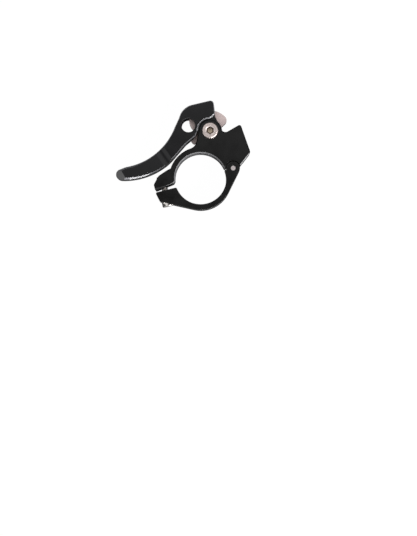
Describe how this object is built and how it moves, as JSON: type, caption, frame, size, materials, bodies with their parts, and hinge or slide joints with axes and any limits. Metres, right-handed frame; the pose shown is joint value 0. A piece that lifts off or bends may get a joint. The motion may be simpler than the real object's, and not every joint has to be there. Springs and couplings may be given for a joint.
{
  "type": "dropper post remote lever",
  "caption": "Thumb lever on a hinged handlebar clamp: the lever turns on a pivot beside the bar and pulls a cable round a drum, through a socket in the clamp's block.",
  "frame": {"origin": "centre of the handlebar clamp's bore, at the middle of its width", "axes": "+Z along the handlebar, out of the face that shows the pivot screw's head; +Y from the bore towards the lever's pivot; +X towards the clamp's hinge"},
  "size_m": [0.0581, 0.0473, 0.0137],
  "materials": {
    "anodised_black": "black anodised, satin",
    "anodised_lever": "black anodised, satin",
    "drum_metal": "machined, bead blasted",
    "screw_steel": "turned stainless steel",
    "nut_steel": "black oxide",
    "bush_polymer": "dry sliding bearing"
  },
  "bodies": {
    "clamp": {"clamp_body": "anodised_black", "hinge_pin": "screw_steel", "clamp_nut": "nut_steel", "pivot_axle": "screw_steel", "pivot_screw": "screw_steel"},
    "strap": {"clamp_strap": "anodised_black"},
    "screw": {"clamp_screw": "screw_steel"},
    "lever": {"lever": "anodised_lever", "lever_bush_front": "bush_polymer", "lever_bush_rear": "bush_polymer"},
    "drum": {"cable_drum": "drum_metal", "drum_shim_front": "screw_steel", "drum_shim_rear": "screw_steel"}
  },
  "joints": [
    {"name": "lever_pivot", "type": "hinge", "parent": "clamp", "child": "lever", "pos_m": [0.0041, 0.0207, 0], "axis": [0, 0, 1], "range_deg": [-65, 2]},
    {"name": "drum_pivot", "type": "hinge", "parent": "clamp", "child": "drum", "pos_m": [0.0041, 0.0207, 0], "axis": [0, 0, 1], "range_deg": [-96, 0]},
    {"name": "strap_hinge", "type": "hinge", "parent": "clamp", "child": "strap", "pos_m": [0.0141, 0.0045, 0], "axis": [0, 0, 1], "range_deg": [0, 5]},
    {"name": "clamp_screw_travel", "type": "slide", "parent": "clamp", "child": "screw", "axis": [0.2402, -0.9707, 0], "range_m": [0, 0.0031]}
  ],
  "couplings": [
    {"joint": "clamp_screw_travel", "follows": "strap_hinge", "m_per_rad": 0.035}
  ]
}
